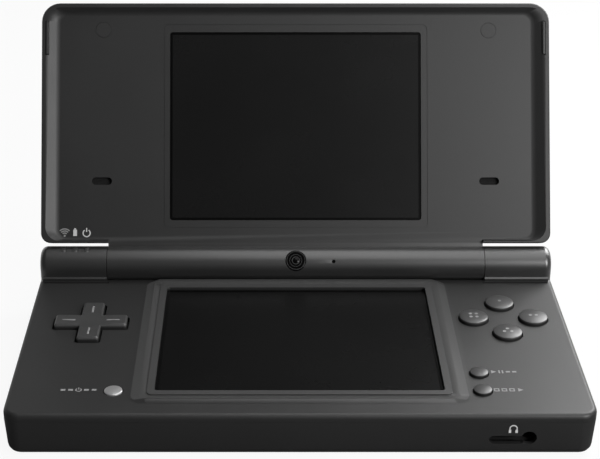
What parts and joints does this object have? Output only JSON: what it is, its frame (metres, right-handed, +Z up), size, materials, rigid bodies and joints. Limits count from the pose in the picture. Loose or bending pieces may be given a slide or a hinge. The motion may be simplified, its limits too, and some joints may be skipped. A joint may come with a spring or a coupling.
{
  "type": "clamshell handheld game console",
  "caption": "Clamshell handheld game console with a screen in the lid and a touch screen in the base between a direction pad and round buttons, lid open on its hinge.",
  "frame": {"origin": "middle of the base's footprint, in the plane that its rubber feet stand on", "axes": "+X to the player's right along the hinge, +Y from the front edge to the hinge, +Z up"},
  "size_m": [0.137, 0.1058, 0.0778],
  "materials": {
    "shell_black": "fine matte texture",
    "button_black": "satin",
    "power_silver": "metallic paint",
    "window_glass": "clear gloss over black",
    "display_module": "matte",
    "rubber": "matte",
    "screw_steel": "plain",
    "switch_metal": "plated",
    "circuit_board": "solder mask",
    "battery_wrap": "film",
    "inner_plastic": "matte",
    "speaker_cloth": "fine mesh",
    "light_guide": "clear"
  },
  "bodies": {
    "base": {"base_top_cover": "shell_black", "base_bottom_cover": "shell_black", "battery_cover": "shell_black", "battery_cover_screws": "screw_steel", "base_screws": "screw_steel", "rubber_feet": "rubber", "battery": "battery_wrap", "main_board": "circuit_board", "wireless_board": "circuit_board", "lower_display": "display_module", "touch_window": "window_glass", "dpad_membrane": "rubber", "face_button_membrane": "rubber", "small_button_membrane": "rubber", "power_switch": "switch_metal", "headphone_jack": "inner_plastic", "charging_socket": "switch_metal", "card_slot": "inner_plastic", "memory_card_reader": "switch_metal", "stylus_holder": "inner_plastic", "volume_switch": "switch_metal", "shoulder_pins": "screw_steel", "shoulder_springs": "screw_steel", "shoulder_switches": "switch_metal", "hinge_clutch": "screw_steel", "hinge_pin": "screw_steel", "status_lights": "light_guide"},
    "lid": {"lid_outer_cover": "shell_black", "lid_inner_cover": "shell_black", "hinge_bushes": "inner_plastic", "upper_display": "display_module", "upper_window": "window_glass", "speaker_left": "inner_plastic", "speaker_right": "inner_plastic", "speaker_meshes": "speaker_cloth", "inner_camera": "inner_plastic", "inner_camera_window": "window_glass", "microphone": "switch_metal", "outer_camera": "inner_plastic", "outer_camera_window": "window_glass", "camera_light": "light_guide", "lid_magnet": "switch_metal", "lid_screws": "screw_steel", "lid_screw_covers": "rubber", "lid_side_pads": "rubber"},
    "dpad_pivot": {"dpad_pivot": "inner_plastic"},
    "dpad": {"dpad": "button_black"},
    "face_button_top": {"face_button_top": "button_black"},
    "face_button_right": {"face_button_right": "button_black"},
    "face_button_bottom": {"face_button_bottom": "button_black"},
    "face_button_left": {"face_button_left": "button_black"},
    "start_button": {"start_button": "button_black"},
    "select_button": {"select_button": "button_black"},
    "power_button": {"power_button": "power_silver"},
    "memory_card_door": {"memory_card_door": "shell_black"},
    "stylus": {"stylus": "button_black"},
    "volume_rocker": {"volume_rocker": "button_black"},
    "shoulder_button_left": {"shoulder_button_left": "button_black"},
    "shoulder_button_right": {"shoulder_button_right": "button_black"}
  },
  "joints": [
    {"name": "lid_hinge", "type": "hinge", "parent": "base", "child": "lid", "pos_m": [0, 0.03275, 0.01445], "axis": [-1, 0, 0], "range_deg": [-117.2, 37.8]},
    {"name": "dpad_rock_sideways", "type": "hinge", "parent": "base", "child": "dpad_pivot", "pos_m": [-0.0523, 0.00485, 0.00885], "axis": [0, 1, 0], "range_deg": [-2, 2], "stiffness_Nm_per_rad": 0.05},
    {"name": "dpad_rock_fore_aft", "type": "hinge", "parent": "dpad_pivot", "child": "dpad", "pos_m": [-0.0523, 0.00485, 0.00885], "axis": [1, 0, 0], "range_deg": [-2, 2], "stiffness_Nm_per_rad": 0.05},
    {"name": "face_button_top_press", "type": "slide", "parent": "base", "child": "face_button_top", "axis": [0, 0, -1], "range_m": [0, 0.0008], "stiffness_N_per_m": 800},
    {"name": "face_button_right_press", "type": "slide", "parent": "base", "child": "face_button_right", "axis": [0, 0, -1], "range_m": [0, 0.0008], "stiffness_N_per_m": 800},
    {"name": "face_button_bottom_press", "type": "slide", "parent": "base", "child": "face_button_bottom", "axis": [0, 0, -1], "range_m": [0, 0.0008], "stiffness_N_per_m": 800},
    {"name": "face_button_left_press", "type": "slide", "parent": "base", "child": "face_button_left", "axis": [0, 0, -1], "range_m": [0, 0.0008], "stiffness_N_per_m": 800},
    {"name": "start_button_press", "type": "slide", "parent": "base", "child": "start_button", "axis": [0, 0, -1], "range_m": [0, 0.0005], "stiffness_N_per_m": 600},
    {"name": "select_button_press", "type": "slide", "parent": "base", "child": "select_button", "axis": [0, 0, -1], "range_m": [0, 0.0005], "stiffness_N_per_m": 600},
    {"name": "power_button_press", "type": "slide", "parent": "base", "child": "power_button", "axis": [0, 0, -1], "range_m": [0, 0.0004], "stiffness_N_per_m": 600},
    {"name": "shoulder_press_left", "type": "hinge", "parent": "base", "child": "shoulder_button_left", "pos_m": [-0.048, 0.0339, 0.005], "axis": [0, 0, 1], "range_deg": [0, 3], "stiffness_Nm_per_rad": 0.15},
    {"name": "shoulder_press_right", "type": "hinge", "parent": "base", "child": "shoulder_button_right", "pos_m": [0.048, 0.0339, 0.005], "axis": [0, 0, -1], "range_deg": [0, 3], "stiffness_Nm_per_rad": 0.15},
    {"name": "volume_rock", "type": "hinge", "parent": "base", "child": "volume_rocker", "pos_m": [-0.06525, -0.01, 0.0056], "axis": [0, 0, 1], "range_deg": [-3, 3], "stiffness_Nm_per_rad": 0.05},
    {"name": "memory_door_swing", "type": "hinge", "parent": "base", "child": "memory_card_door", "pos_m": [0.0671, 0.02475, 0.0044], "axis": [0, 0, 1], "range_deg": [0, 90]},
    {"name": "stylus_slide", "type": "slide", "parent": "base", "child": "stylus", "axis": [1, 0, 0], "range_m": [0, 0.095]}
  ]
}
